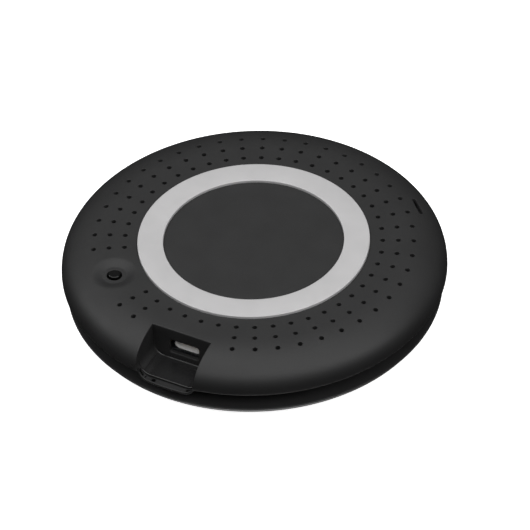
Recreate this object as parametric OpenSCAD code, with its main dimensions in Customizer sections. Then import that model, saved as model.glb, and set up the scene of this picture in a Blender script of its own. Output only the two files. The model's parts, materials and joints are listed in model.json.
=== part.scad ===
// Round conference speakerphone: domed top with a ring of sound holes, a port bay, a call button,
// a cable groove round the waist and a rubber foot. The origin is on the table, on the body's axis.
// The port bay faces -Y.

/* [Body] */
// Outer diameter of the dome
body_d = 120; // [118:0.5:122]
// Height of the dome's flat top above the table
top_z = 23; // [22.8:0.1:23.4]
// Radius where the flat top starts to curve down
flat_r = 44.75; // [44:0.25:45]
// Drop from the flat top to the widest point
dome_drop = 9.43; // [9.2:0.1:9.8]
// Exponent of the dome's superellipse
dome_power = 2.332; // [2.1:0.1:2.6]
// Thickness of the top skin
skin = 2; // [1.8:0.1:2]

/* [Trim] */
// Outer radius of the silver ring
ring_r = 36; // [35:0.5:37]
// Inner radius of the silver ring
ring_in_r = 28; // [27:0.5:29]
// Height of the ring above the flat top
ring_proud = 0.7; // [0.4:0.1:0.9]
// Depth of the recess that holds the ring and the disc
recess_depth = 1.2; // [1:0.1:1.3]

/* [Sound holes] */
// Columns in a full circle
hole_columns = 45; // [45]
// Angle of the first column
hole_phase = 2; // [0:1:4]
// Radius of the inner ring of holes
hole_ring_r = 40; // [39.5:0.1:40.2]
// Distance between rings of holes
hole_ring_step = 4.8; // [4.4:0.1:4.9]
// Radius of a sound hole
hole_r = 0.75; // [0.6:0.05:0.9]

/* [Button] */
// Angle of the button round the body
button_angle = 225.2; // [225:0.1:226]
// Distance of the button from the axis
button_r = 45; // [44.5:0.1:45.5]
// Radius of the finger dish
dish_r = 7.4; // [7:0.1:7.6]
// Depth of the finger dish
dish_depth = 1; // [0.7:0.1:1]
// Radius of the button's cap
cap_r = 1.9; // [1.7:0.1:2]
// Distance that the button moves down
button_travel = 0.3; // [0.2:0.05:0.35]

/* [Microphone] */
// Angle of the microphone slot round the body
mic_angle = 45; // [40:1:50]
// Distance of the slot from the axis
mic_r = 53.7; // [53:0.1:53.8]
// Length of the slot
mic_slot_l = 7.6; // [7:0.1:8.5]
// Width of the slot
mic_slot_w = 1.4; // [0.9:0.1:1.5]

/* [Port bay] */
// Width of the bay
bay_w = 20; // [19:0.1:20.2]
// Distance of the back wall from the axis
bay_back = 47.2; // [47.1:0.1:47.6]
// Drop from the flat top to the bay's floor
bay_drop = 11.66; // [11.5:0.1:11.8]
// Radius where the floor meets the side walls
bay_corner = 3.8; // [3:0.1:4]
// Thickness of the bay's walls
bay_wall = 1.3; // [1.2:0.1:1.3]
// Distance of the floor's front edge from the axis
bay_front = 56.7; // [56.5:0.1:57.2]

/* [Waist and base] */
// Radius of the waist that the cable winds round
waist_r = 51.6; // [51.4:0.1:51.8]
// Radius of the base's rim
base_r = 58.6; // [58:0.1:59]
// Height of the base's rim
base_rim_z = 6.4; // [6.2:0.1:6.5]
// Radius of the rubber foot's inner edge
foot_in_r = 29; // [28.8:0.1:29.2]
// Radius of the rubber foot's outer edge
foot_out_r = 49; // [48:0.5:50]

/* [Speaker] */
// Travel of the cone each way
cone_travel = 0.8; // [0.5:0.1:0.9]
// Radius of the speaker's flange
flange_r = 26.5; // [26.4:0.1:26.6]
// Radius of the voice coil's former inside
former_r = 6.35; // [6.3:0.05:6.4]

/* [Hidden] */
$fn = 96;
eps = 0.01;
body_r = body_d / 2;
widest_z = top_z - dome_drop;
recess_z = top_z - recess_depth;
skin_z = top_z - skin;
centre_floor_z = recess_z - 1.4;
shell_edge_z = widest_z - 0.57;
shell_edge_r = body_r - 0.7;
inner_edge_r = body_r - 2.4;
inner_flat_r = 51;
dome_steps = 28;
inner_steps = 14;

bay_floor_z = top_z - bay_drop;
bay_half = bay_w / 2;
bay_notch_half = bay_half + bay_wall + 0.4;
bay_notch_y = -bay_back + bay_wall + 0.4;
tray_edge = 0.45;
tray_step_y = -53.8;
chin_gap = 0.15;
chin_wall = 1.2;
chin_back_y = -50.4;
chin_front_y = -bay_front - chin_gap;
lip_drop = 1.3;
lip_wall = 0.75;
ledge_t = 0.36;
rim_w = 0.55;

port_x = 0.55;
port_w = 8.94;
port_h = 3.16;
port_l = 7.3;
port_wall = 0.3;
port_z = 13.9;
tongue_w = 6.7;
tongue_h = 0.7;
port_front_y = -bay_back + 2.35;
port_slot_w = 10.2;
port_slot_top_z = top_z - 4.3;

board_z = 12.68;
board_t = 1.2;
board_top_z = board_z + board_t;
board_in_r = 37;
board_out_r = 47.3;
board_mid_r = (board_in_r + board_out_r) / 2;
chip_z = board_top_z + 0.01;

baffle_z = 17.2;
baffle_t = 1.3;
baffle_top_z = baffle_z + baffle_t;
baffle_r = 50;
baffle_hole_r = 24;

base_z = 1.3;
floor_z = 3;
hub_seat_gap = 0.1;
cove_top_z = 6.65;
base_flank_z = 3.6;
cover_z = 11.2;
cover_t = 1.4;
cover_in_r = 48;
seat_gap = 0.02;
foot_recess = 0.6;

boss_r = 33;
boss_out_r = 2.8;
boss_z = 7.5;
boss_angles = [45, 135, 225, 315];
screw_shank_r = 1.05;
screw_head_r = 2.1;
screw_head_h = 1.5;
screw_seat_z = 4.2;
screw_tip_z = 17.6;

small_shank_r = 0.85;
small_head_r = 1.7;
small_head_h = 1.1;
small_clear = 0.05;
baffle_boss_r = 33.5;
baffle_boss_angles = [0, 90, 180, 270];
board_screw_r = 39.9;
board_screw_angles = [20, 110, 182, 330];

cup_in_r = 27.2;
cup_out_r = 28.6;
cup_z = 3.3;
cup_floor = 1.3;

stem_r = 1.3;
cap_top_z = top_z - dish_depth + 0.7;
plunger_r = 1.4;
plunger_h = 1.5;
plunger_top_z = 16.4;
switch_h = 1.9;
switch_side = 6;
switch_well_z = plunger_top_z - plunger_h - button_travel - 0.2;

yoke_z = 4.9;
yoke_t = 1.3;
magnet_t = 2;
plate_t = 1.4;
plate_z = yoke_z + yoke_t + magnet_t;
plate_top_z = plate_z + plate_t;
flange_z = baffle_z - 0.3 - 0.8;
flange_top_z = baffle_z - 0.3;
cone_r = 19.3;
former_t = 0.15;
former_z = yoke_z + yoke_t + cone_travel + 0.4;
plate_r = 14.5;
magnet_r = 15.5;
magnet_in_r = 8.4;
yoke_r = 14;
part_gap = 0.02;
coil_r = former_r + 0.7;
coil_h = 2.6;
cone_t = 0.45;
neck_z = plate_top_z + 3.8;
spider_z = plate_top_z + 2.1;

lead_angle = 75;
lead_z = board_top_z + 1;
lead_pitch = 1.8;
lead_r = 0.5;
lead_start_r = 22.85;
lead_length = 15.6;
lead_connector_r = 40.6;

mic_pad_z = 19;
mic_pad_l = 11;
mic_pad_w = 4.4;
mic_gasket_z = 18.01;
mic_board_z = 17.2;
mic_board_t = 0.8;
mic_capsule_h = 1.08;
mic_connector_r = 44.2;
mic_lead_r = 45.8;
mic_lead_z = 14.4;
mic_lead_top_z = 16.6;
mic_lead_pitch = 1.2;

black = "#2b2b2c";
dark = "#1b1b1c";
silver = "#bebcbd";
board_mask = "#15181a";
steel = "#b9bcc0";
gold = "#c9a24a";
copper = "#b8703a";
paper = "#2a2724";
rubber = "#18181a";

// ---------- helpers ----------

// Shares of the dome's reach and drop at an angle from 0 at the flat top to 90 at the widest point
function super_r(t) = pow(sin(t), 2 / dome_power);
function super_z(t) = pow(cos(t), 2 / dome_power);
function dome_curve(r0, r1, z0, z1, steps) = [
  for (i = [0:steps]) [r0 + (r1 - r0) * super_r(90 * i / steps), z1 + (z0 - z1) * super_z(90 * i / steps)]
];
function reversed(list) = [for (i = [len(list) - 1:-1:0]) list[i]];

module polar(angle, r, z = 0) {
  rotate([0, 0, angle]) translate([r, 0, z]) children();
}

module tube(outer, inner, h) {
  difference() {
    cylinder(r = outer, h = h);
    translate([0, 0, -1]) cylinder(r = inner, h = h + 2);
  }
}

// A block centred on X and Y, standing on z = 0
module block(x, y, z) {
  translate([-x / 2, -y / 2, 0]) cube([x, y, z]);
}

// A small screw with its head down and its tip up, standing on its seat at z = 0
module screw(shank_r, head_r, head_h, length) {
  difference() {
    union() {
      translate([0, 0, -head_h]) cylinder(r = head_r, h = head_h, $fn = 48);
      translate([0, 0, -eps]) cylinder(r = shank_r, h = length, $fn = 32);
    }
    for (turn = [0, 90]) rotate([0, 0, turn])
      translate([0, 0, -head_h - eps]) block(head_r, head_r / 4, head_h / 2);
  }
}

// Outline of the bay seen from the front, grown by a margin all round
module bay_outline(grow) {
  corner_x = bay_half - bay_corner;
  corner_z = bay_floor_z + bay_corner;
  translate([-bay_half - grow, corner_z]) square([bay_w + 2 * grow, 20]);
  translate([-corner_x, bay_floor_z - grow]) square([2 * corner_x, bay_corner + grow + 1]);
  for (side = [-1, 1]) translate([side * corner_x, corner_z]) circle(r = bay_corner + grow);
}

// The bay's outline pushed along Y, from the front at y0 to the back at y1
module bay_prism(grow, y0, y1) {
  translate([0, y1, 0]) rotate([90, 0, 0]) linear_extrude(height = y1 - y0) bay_outline(grow);
}

// The walls and floor round the bay as a solid, thin where the chin tucks under the floor's front edge
module bay_tray() {
  bay_prism(bay_wall, tray_step_y, -bay_back + bay_wall);
  bay_prism(tray_edge, -bay_front, tray_step_y + eps);
}

module dome_solid() {
  rotate_extrude($fn = 180) polygon(concat(
    [[0, shell_edge_z], [0, top_z]],
    dome_curve(flat_r, body_r, top_z, widest_z, dome_steps),
    [[shell_edge_r, shell_edge_z]]
  ));
}

module dome_hollow() {
  rotate_extrude($fn = 180) polygon(concat(
    [[0, shell_edge_z - 1], [0, centre_floor_z], [ring_r + 1.2, centre_floor_z], [ring_r + 1.2, skin_z]],
    dome_curve(inner_flat_r, inner_edge_r, skin_z, shell_edge_z, inner_steps),
    [[inner_edge_r, shell_edge_z - 1]]
  ));
}

// True for the sound holes that the button and the bay leave room for
function hole_kept(angle, ring) =
  let (from_button = abs(angle - button_angle), from_bay = abs(angle - 270))
  from_button > 9 && (from_bay > 13 || ring == 0);

module sound_holes() {
  for (k = [0:hole_columns - 1]) {
    angle = hole_phase + k * 360 / hole_columns;
    for (ring = [0:2]) {
      if (hole_kept(angle, ring))
        polar(angle, hole_ring_r + ring * hole_ring_step, skin_z - 1)
          cylinder(r = hole_r, h = skin + 2, $fn = 24);
    }
  }
}

// Concave dish that guides a finger to the button
module finger_dish() {
  dish_floor_r = 3.7;
  steps = 8;
  polar(button_angle, button_r, top_z - dish_depth) rotate_extrude($fn = 96) polygon([
    [0, 0], [dish_floor_r, 0],
    for (i = [1:steps])
      [dish_floor_r + (dish_r - dish_floor_r) * i / steps, dish_depth * sin(90 * i / steps)],
    [dish_r + 0.1, dish_depth + 2], [0, dish_depth + 2]
  ]);
}

module mic_slot(grow, z, h) {
  half = (mic_slot_l - mic_slot_w) / 2;
  polar(mic_angle, mic_r, z) {
    for (side = [-1, 1]) translate([0, side * half, 0])
      cylinder(r = mic_slot_w / 2 + grow, h = h, $fn = 32);
    block(mic_slot_w + 2 * grow, 2 * half, h);
  }
}

// ---------- covers ----------

module top_shell() {
  color(black) difference() {
    union() {
      difference() {
        dome_solid();
        dome_hollow();
      }
      intersection() {
        dome_solid();
        bay_tray();
      }
      bay_keel();
      for (a = boss_angles) polar(a, boss_r, boss_z)
        cylinder(r = boss_out_r, h = centre_floor_z - boss_z + eps);
      for (a = baffle_boss_angles) polar(a, baffle_boss_r, baffle_top_z)
        cylinder(r = 2.3, h = centre_floor_z - baffle_top_z + eps);
      intersection() {
        dome_solid();
        polar(mic_angle, mic_r, mic_pad_z) block(mic_pad_w, mic_pad_l, 3);
      }
    }
    translate([0, 0, recess_z]) cylinder(r = ring_r + 0.1, h = recess_depth + 1, $fn = 180);
    bay_prism(0, -body_r - 2, -bay_back);
    translate([port_x, -bay_back + bay_wall / 2, board_top_z - 0.3])
      block(port_slot_w, bay_wall + 1, port_slot_top_z - board_top_z + 0.3);
    sound_holes();
    finger_dish();
    polar(button_angle, button_r, skin_z - 1) cylinder(r = cap_r + 0.5, h = skin + 1, $fn = 48);
    mic_slot(0, mic_pad_z - 1, skin + 4);
    for (a = boss_angles) polar(a, boss_r, boss_z - 1)
      cylinder(r = screw_shank_r + small_clear, h = screw_tip_z - boss_z + 1.4, $fn = 32);
    for (a = baffle_boss_angles) polar(a, baffle_boss_r, baffle_top_z - 1)
      cylinder(r = small_shank_r + small_clear, h = 3.6, $fn = 32);
  }
}

// The part of the bay's floor and corners that hangs below the dome's edge
module bay_keel() {
  intersection() {
    bay_tray();
    translate([0, 0, bay_floor_z - bay_wall - 1])
      cylinder(r = inner_edge_r - 0.2, h = shell_edge_z - bay_floor_z + bay_wall + 1 + eps);
  }
}

module trim_ring() {
  bevel = 0.25;
  z1 = top_z + ring_proud;
  color(silver) rotate_extrude($fn = 180) polygon([
    [ring_in_r, recess_z], [ring_r, recess_z], [ring_r, z1 - bevel], [ring_r - bevel, z1],
    [ring_in_r + bevel, z1], [ring_in_r, z1 - bevel]
  ]);
}

module centre_disc() {
  bevel = 0.2;
  r = ring_in_r - 0.1;
  color(dark) rotate_extrude($fn = 180) polygon([
    [0, recess_z], [r, recess_z], [r, top_z - bevel], [r - bevel, top_z], [0, top_z]
  ]);
}

// Annular cover that closes the dome from below, with a chin under the bay
module lower_cover() {
  rim_z = shell_edge_z - 0.05;
  lip_r = inner_edge_r - 0.15;
  color(black) {
    difference() {
      rotate_extrude($fn = 180) polygon([
        [cover_in_r, cover_z], [waist_r + 0.6, cover_z], [waist_r + 3.6, cover_z + 0.45],
        [shell_edge_r - 1.2, rim_z - 0.5], [shell_edge_r - 0.2, rim_z - 0.12], [shell_edge_r, rim_z],
        [lip_r, rim_z], [lip_r, rim_z + 1.2], [lip_r - 1.2, rim_z + 1.2], [lip_r - 1.2, rim_z],
        [waist_r + 3, cover_z + cover_t + 0.2], [waist_r, cover_z + cover_t],
        [cover_in_r, cover_z + cover_t]
      ]);
      bay_prism(bay_wall + chin_gap, chin_front_y, bay_notch_y);
      chin_mouth(lip_wall, -body_r - 2, chin_front_y + eps);
      chin_slots();
    }
    difference() {
      chin();
      bay_prism(tray_edge + chin_gap, chin_front_y, chin_back_y + 1);
      chin_slots();
    }
  }
}

// The bay's outline set lower and narrowed by a wall, pushed along Y
module chin_mouth(wall, y0, y1) {
  translate([0, 0, -lip_drop]) bay_prism(-wall, y0, y1);
}

// Saddle under the bay's tray, with a thin lip that carries the dome's edge round the bay's mouth
module chin() {
  saddle_front_y = -55.8;
  step_y = tray_step_y - chin_gap;
  intersection() {
    union() {
      difference() {
        bay_prism(bay_wall + chin_gap + chin_wall, saddle_front_y, chin_back_y);
        bay_prism(bay_wall + chin_gap, step_y, chin_back_y + 1);
      }
      difference() {
        chin_mouth(0, -body_r - 1, step_y);
        chin_mouth(lip_wall, -body_r - 2, step_y + 1);
        intersection() {
          chin_mouth(ledge_t, -body_r - 2, step_y + 1);
          cylinder(r = shell_edge_r - rim_w, h = top_z, $fn = 180);
        }
      }
    }
    cylinder(r = shell_edge_r, h = shell_edge_z - 0.05, $fn = 180);
  }
}

// Openings in the lip's ledge, which leave a rib between the two on the left
module chin_slots() {
  depth = 1.8;
  intersection() {
    for (slot = [[-9.2, 2.2], [-7.4, 0.4], [-4.55, 1.3], [8.4, 3.8]]) {
      translate([slot[0], chin_front_y - 0.15 - depth / 2, 0]) block(slot[1], depth, top_z);
    }
    cylinder(r = shell_edge_r - rim_w, h = top_z, $fn = 180);
  }
}

module cord_hub() {
  hub_wall = 1.8;
  chin_margin = bay_wall + chin_gap + chin_wall + 0.2;
  color(black) difference() {
    translate([0, 0, floor_z + seat_gap])
      tube(waist_r, waist_r - hub_wall, cover_z - floor_z - 2 * seat_gap, $fn = 180);
    bay_prism(chin_margin, -body_r, -bay_back);
  }
}

module base_plate() {
  cove_r = waist_r + hub_seat_gap;
  plate_boss_r = 3.2;
  hub_stop_r = waist_r - 1.95;
  color(black) difference() {
    union() {
      rotate_extrude($fn = 180) polygon([
        [0, base_z], [base_r - 6.2, base_z], [base_r - 1.7, base_flank_z], [base_r - 0.1, base_rim_z - 0.5],
        [base_r, base_rim_z - 0.25], [base_r - 0.15, base_rim_z],
        for (i = [0:6]) [cove_r + (base_r - 0.6 - cove_r) * (1 - i / 6),
                         base_rim_z + 0.05 + (cove_top_z - base_rim_z) * pow(i / 6, 2)],
        [cove_r, floor_z], [0, floor_z]
      ]);
      for (a = boss_angles) polar(a, boss_r, floor_z - eps)
        cylinder(r = plate_boss_r, h = boss_z - floor_z - 0.1);
      translate([0, 0, floor_z - eps]) tube(hub_stop_r, hub_stop_r - 1, 2);
    }
    translate([0, 0, base_z - 1]) tube(foot_out_r + 0.1, foot_in_r - 0.1, foot_recess + 1, $fn = 180);
    for (a = boss_angles) polar(a, boss_r, 0) {
      cylinder(r = screw_head_r + 0.15, h = screw_seat_z, $fn = 48);
      cylinder(r = screw_shank_r + small_clear, h = 20, $fn = 32);
    }
  }
}

module foot_ring() {
  bevel = 0.3;
  top = base_z + foot_recess;
  color(rubber) rotate_extrude($fn = 180) polygon([
    [foot_in_r + bevel, 0], [foot_out_r - bevel, 0], [foot_out_r, bevel], [foot_out_r, top],
    [foot_in_r, top], [foot_in_r, bevel]
  ]);
}

module body_screws() {
  color(steel) for (a = boss_angles) polar(a, boss_r, screw_seat_z)
    screw(screw_shank_r, screw_head_r, screw_head_h, screw_tip_z - screw_seat_z);
}

module sound_mesh() {
  mesh_t = 0.25;
  color(dark) translate([0, 0, skin_z - mesh_t]) difference() {
    tube(hole_ring_r + 2 * hole_ring_step + 1.3, ring_r + 1.5, mesh_t, $fn = 180);
    polar(button_angle, button_r, -1) cylinder(r = 4, h = 2);
    translate([0, bay_notch_y - 10, -1]) block(2 * bay_notch_half, 20, 2);
  }
}

// ---------- speaker ----------

module speaker_baffle() {
  post_h = baffle_z - board_top_z;
  color(dark) difference() {
    union() {
      translate([0, 0, baffle_z]) tube(baffle_r, baffle_hole_r, baffle_t, $fn = 180);
      for (a = board_screw_angles) polar(a, board_screw_r, board_top_z)
        cylinder(r = 1.9, h = post_h + eps, $fn = 48);
    }
    translate([0, bay_notch_y - 10, 0]) block(2 * bay_notch_half, 20, 30);
    for (a = boss_angles) polar(a, boss_r, 0) cylinder(r = boss_out_r + 0.2, h = 30, $fn = 48);
    for (a = baffle_boss_angles) polar(a, baffle_boss_r, 0)
      cylinder(r = small_shank_r + small_clear, h = 30, $fn = 32);
    polar(button_angle, button_r, 0) cylinder(r = stem_r + 0.3, h = 30, $fn = 32);
    for (a = board_screw_angles) polar(a, board_screw_r, 0)
      cylinder(r = small_shank_r + small_clear, h = baffle_z + 0.4, $fn = 32);
  }
}

module baffle_screws() {
  color(steel) for (a = baffle_boss_angles) polar(a, baffle_boss_r, baffle_z)
    screw(small_shank_r, small_head_r, small_head_h, 3.6);
}

module speaker_chamber() {
  rib_top = flange_z;
  color(dark) difference() {
    union() {
      translate([0, 0, cup_z]) tube(cup_out_r, cup_in_r, baffle_z - cup_z);
      translate([0, 0, cup_z]) cylinder(r = cup_out_r - 0.5, h = cup_floor);
      for (a = [0:45:315]) polar(a, cup_in_r - 0.7, cup_z) block(2.2, 1.2, rib_top - cup_z);
    }
    polar(lead_angle, cup_out_r - 0.7, lead_z - 1) block(4, 4.4, 2);
  }
}

module speaker_gasket() {
  color(rubber) translate([0, 0, flange_top_z]) tube(flange_r, baffle_hole_r + 0.2, 0.3);
}

module speaker_basket() {
  wall_r = 22.8;
  ledge_z = spider_z;
  seat_r = 16.6;
  seat_in_r = 13;
  sheet = 0.7;
  color(steel) difference() {
    rotate_extrude() polygon([
      [flange_r, flange_top_z], [flange_r, flange_z], [wall_r, flange_z], [wall_r, ledge_z - sheet],
      [seat_r, ledge_z - sheet], [seat_r, plate_top_z], [seat_in_r, plate_top_z],
      [seat_in_r, plate_top_z + sheet], [seat_r - sheet, plate_top_z + sheet], [seat_r - sheet, ledge_z],
      [wall_r - sheet, ledge_z], [wall_r - sheet, flange_top_z]
    ]);
    for (a = [15:60:315]) polar(a, 19.7, ledge_z - 2) block(4.4, 9, 4);
  }
}

module speaker_top_plate() {
  color(steel) translate([0, 0, plate_z]) tube(plate_r, coil_r + 0.35, plate_t - part_gap);
}

module speaker_magnet() {
  color("#3a3a3d") translate([0, 0, yoke_z + yoke_t]) tube(magnet_r, magnet_in_r, magnet_t - part_gap);
}

module speaker_yoke() {
  color(steel) {
    translate([0, 0, yoke_z]) cylinder(r = yoke_r, h = yoke_t - part_gap);
    translate([0, 0, yoke_z]) cylinder(r = former_r - 0.35, h = plate_top_z - yoke_z);
  }
}

module speaker_surround() {
  roll_r = 1.45;
  t = 0.4;
  mid = cone_r + 1.6;
  color(rubber) translate([0, 0, flange_top_z + 0.01]) rotate_extrude() {
    difference() {
      translate([mid, 0]) circle(r = roll_r + t / 2, $fn = 48);
      translate([mid, 0]) circle(r = roll_r - t / 2, $fn = 48);
      translate([mid - 4, -4]) square([8, 4]);
    }
    translate([mid + roll_r - t / 2, 0]) square([1.3, t]);
    translate([mid - roll_r - 0.8 + t / 2, 0]) square([0.8, t]);
  }
}

module speaker_spider() {
  z = spider_z + seat_gap;
  inner = former_r + former_t + seat_gap;
  outer = 18;
  waves = 3;
  t = 0.3;
  n = 24;
  wave = [for (i = [0:n]) [inner + (outer - inner) * i / n, 0.35 - 0.35 * cos(360 * waves * i / n)]];
  color(gold) translate([0, 0, z]) rotate_extrude() polygon(concat(
    wave, reversed([for (p = wave) [p[0], p[1] + t]])
  ));
}

module speaker_cone() {
  rim_z = flange_top_z - 0.01;
  neck_r = former_r + former_t;
  color(paper) rotate_extrude() polygon([
    [neck_r, neck_z - 1], [neck_r, neck_z], [11, neck_z + 1.5], [cone_r - 0.8, rim_z], [cone_r, rim_z],
    [cone_r, rim_z - cone_t], [11.2, neck_z + 1.5 - cone_t], [neck_r + cone_t, neck_z - 1]
  ]);
}

module dust_cap() {
  cap_h = 1.7;
  rim = 7.2;
  sphere_r = (rim * rim + cap_h * cap_h) / (2 * cap_h);
  z = neck_z + 0.3;
  color(paper) translate([0, 0, z]) intersection() {
    difference() {
      translate([0, 0, cap_h - sphere_r]) sphere(r = sphere_r, $fn = 180);
      translate([0, 0, cap_h - sphere_r]) sphere(r = sphere_r - 0.3, $fn = 180);
    }
    cylinder(r = rim, h = cap_h + 1);
  }
}

module coil_former() {
  color(gold) translate([0, 0, former_z])
    tube(former_r + former_t - 0.005, former_r, neck_z - former_z - 0.1);
}

module voice_coil() {
  color(copper) translate([0, 0, former_z + 0.2]) tube(coil_r, former_r + former_t, coil_h);
}

// Two wires side by side that run outwards to the connector
module lead_pair(r, start_r, length) {
  for (side = [-1, 1]) polar(lead_angle, start_r, lead_z)
    translate([0, side * lead_pitch / 2, 0]) rotate([0, 90, 0]) cylinder(r = r, h = length, $fn = 24);
}

module speaker_leads() {
  color("firebrick") lead_pair(lead_r, lead_start_r, lead_length);
}

module lead_seal() {
  color(rubber) difference() {
    polar(lead_angle, cup_out_r - 0.7, lead_z - 0.95) block(1.3, 4.3, 1.9);
    lead_pair(lead_r + seat_gap, lead_start_r - 1, lead_length);
  }
}

// ---------- electronics ----------

module main_board() {
  color(board_mask) difference() {
    translate([0, 0, board_z]) tube(board_out_r, board_in_r, board_t, $fn = 180);
    translate([0, bay_notch_y - 10, 0]) block(2 * bay_notch_half, 20, 30);
    for (a = board_screw_angles) polar(a, board_screw_r, 0)
      cylinder(r = small_shank_r + 0.15, h = 30, $fn = 32);
  }
}

module board_screws() {
  color(steel) for (a = board_screw_angles) polar(a, board_screw_r, board_z)
    screw(small_shank_r, small_head_r, small_head_h, 4.4);
}

// Rounded slot outline of the port, standing on the XZ plane
module port_outline(w, h) {
  for (side = [-1, 1]) translate([side * (w - h) / 2, 0]) circle(r = h / 2, $fn = 32);
  translate([-(w - h) / 2, -h / 2]) square([w - h, h]);
}

module port_bar(w, h, y0, y1) {
  translate([port_x, y1, port_z + port_h / 2]) rotate([90, 0, 0])
    linear_extrude(height = y1 - y0) port_outline(w, h);
}

module usb_receptacle() {
  mouth_w = port_w - 2 * port_wall;
  mouth_h = port_h - 2 * port_wall;
  color(steel) difference() {
    port_bar(port_w, port_h, port_front_y, port_front_y + port_l);
    port_bar(mouth_w, mouth_h, port_front_y - 1, port_front_y + port_l - 2 * port_wall);
  }
}

module usb_tongue() {
  y0 = port_front_y + 1;
  y1 = port_front_y + port_l - 2 * port_wall - seat_gap;
  margin = 2 * (port_wall + seat_gap);
  plug_l = 1.4;
  color(dark) {
    translate([port_x, (y0 + y1) / 2, port_z + (port_h - tongue_h) / 2]) block(tongue_w, y1 - y0, tongue_h);
    port_bar(port_w - margin, port_h - margin, y1 - plug_l, y1);
  }
}

module processor_shield() {
  color(steel) polar(290, board_mid_r, chip_z) block(8, 10, 2);
}

module audio_chips() {
  color("#202022") for (chip = [[205, 7, 7, 0.9], [150, 5, 6, 1], [138, 4, 4, 0.8]]) {
    polar(chip[0], board_mid_r, chip_z) block(chip[1], chip[2], chip[3]);
  }
}

module capacitors() {
  color("#8f9297") for (a = [95, 122, 168]) polar(a, board_mid_r, chip_z)
    cylinder(r = 1.6, h = 2.9, $fn = 32);
}

module lead_connector() {
  color("ivory") difference() {
    polar(lead_angle, lead_connector_r, chip_z) block(4, 6, 2);
    lead_pair(lead_r + seat_gap, lead_start_r - 1, lead_length + 1.15);
  }
}

// ---------- button ----------

module button_cap() {
  edge = 0.35;
  flange_top = skin_z - 0.3;
  color(dark) polar(button_angle, button_r) rotate_extrude($fn = 64) polygon([
    [0, plunger_top_z + 0.05], [stem_r, plunger_top_z + 0.05], [stem_r, flange_top - 0.8],
    [3, flange_top - 0.8], [3, flange_top], [cap_r, flange_top],
    for (i = [0:5]) [cap_r - edge + edge * cos(90 * i / 5), cap_top_z - edge + edge * sin(90 * i / 5)],
    [0, cap_top_z]
  ]);
}

module button_switch() {
  color("#303033") polar(button_angle, button_r, chip_z) difference() {
    block(switch_side, switch_side, switch_h);
    translate([0, 0, switch_well_z - chip_z]) cylinder(r = plunger_r + 0.3, h = switch_h, $fn = 48);
  }
}

module switch_plunger() {
  color("#5a3a2a") polar(button_angle, button_r, plunger_top_z - plunger_h)
    cylinder(r = plunger_r, h = plunger_h, $fn = 48);
}

// ---------- microphone ----------

module mic_gasket() {
  color(rubber) difference() {
    polar(mic_angle, mic_r, mic_gasket_z) block(4.2, 10, mic_pad_z - mic_gasket_z - 0.01);
    mic_slot(0.1, mic_gasket_z - 1, 4);
  }
}

module mic_board() {
  color(board_mask) polar(mic_angle, mic_r, mic_board_z) difference() {
    block(mic_pad_w, mic_pad_l, mic_board_t);
    translate([0, 0, -1]) cylinder(r = 0.5, h = 3, $fn = 24);
  }
}

module mic_capsule() {
  color(steel) polar(mic_angle, mic_r, mic_board_z - mic_capsule_h - seat_gap)
    block(2.8, 3.8, mic_capsule_h);
}

module mic_connector() {
  color("ivory") polar(mic_angle, mic_connector_r, chip_z) block(3, 5, 1.4);
}

module mic_leads() {
  run = [mic_r - 2 - mic_lead_r, mic_lead_top_z - mic_lead_z];
  color("dimgray") for (side = [-1, 0, 1]) polar(mic_angle, mic_lead_r, mic_lead_z)
    translate([0, side * mic_lead_pitch, 0]) rotate([0, atan2(run[0], run[1]), 0])
      cylinder(r = 0.35, h = norm(run), $fn = 20);
}

top_shell();
trim_ring();
centre_disc();
lower_cover();
cord_hub();
base_plate();
foot_ring();
body_screws();
sound_mesh();
speaker_baffle();
baffle_screws();
speaker_chamber();
speaker_gasket();
speaker_basket();
speaker_top_plate();
speaker_magnet();
speaker_yoke();
speaker_surround();
speaker_spider();
speaker_cone();
dust_cap();
coil_former();
voice_coil();
speaker_leads();
lead_seal();
main_board();
board_screws();
usb_receptacle();
usb_tongue();
processor_shield();
audio_chips();
capacitors();
lead_connector();
button_cap();
button_switch();
switch_plunger();
mic_gasket();
mic_board();
mic_capsule();
mic_leads();
mic_connector();
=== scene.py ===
"""Looks of the conference speakerphone.

Lengths are in millimetres until a mesh is made, which is in metres.
"""

import json
import math

import bmesh
import bpy
import numpy as np
from mathutils import Matrix, Vector


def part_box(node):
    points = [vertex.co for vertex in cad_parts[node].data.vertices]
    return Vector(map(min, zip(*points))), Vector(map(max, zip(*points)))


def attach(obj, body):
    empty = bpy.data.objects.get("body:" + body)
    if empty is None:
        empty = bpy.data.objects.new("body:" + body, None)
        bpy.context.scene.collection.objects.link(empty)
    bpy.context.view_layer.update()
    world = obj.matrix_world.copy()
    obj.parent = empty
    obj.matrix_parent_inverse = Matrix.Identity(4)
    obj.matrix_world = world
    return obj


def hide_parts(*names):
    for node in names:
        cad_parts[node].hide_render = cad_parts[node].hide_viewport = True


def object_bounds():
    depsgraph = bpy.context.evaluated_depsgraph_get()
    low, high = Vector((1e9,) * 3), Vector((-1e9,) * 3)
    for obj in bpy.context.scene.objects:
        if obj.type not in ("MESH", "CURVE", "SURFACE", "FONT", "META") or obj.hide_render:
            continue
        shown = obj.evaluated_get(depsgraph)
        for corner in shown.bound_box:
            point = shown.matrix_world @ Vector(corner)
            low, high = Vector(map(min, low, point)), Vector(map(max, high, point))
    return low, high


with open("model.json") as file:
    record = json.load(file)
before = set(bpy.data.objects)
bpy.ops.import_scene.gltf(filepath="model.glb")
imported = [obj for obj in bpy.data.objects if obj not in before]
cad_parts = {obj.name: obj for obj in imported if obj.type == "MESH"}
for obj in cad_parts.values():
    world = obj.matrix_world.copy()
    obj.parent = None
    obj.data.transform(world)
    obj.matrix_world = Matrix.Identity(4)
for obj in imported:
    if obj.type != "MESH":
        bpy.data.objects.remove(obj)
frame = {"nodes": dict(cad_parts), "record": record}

CAD_LOW, CAD_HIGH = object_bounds()
MM = 0.001

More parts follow.
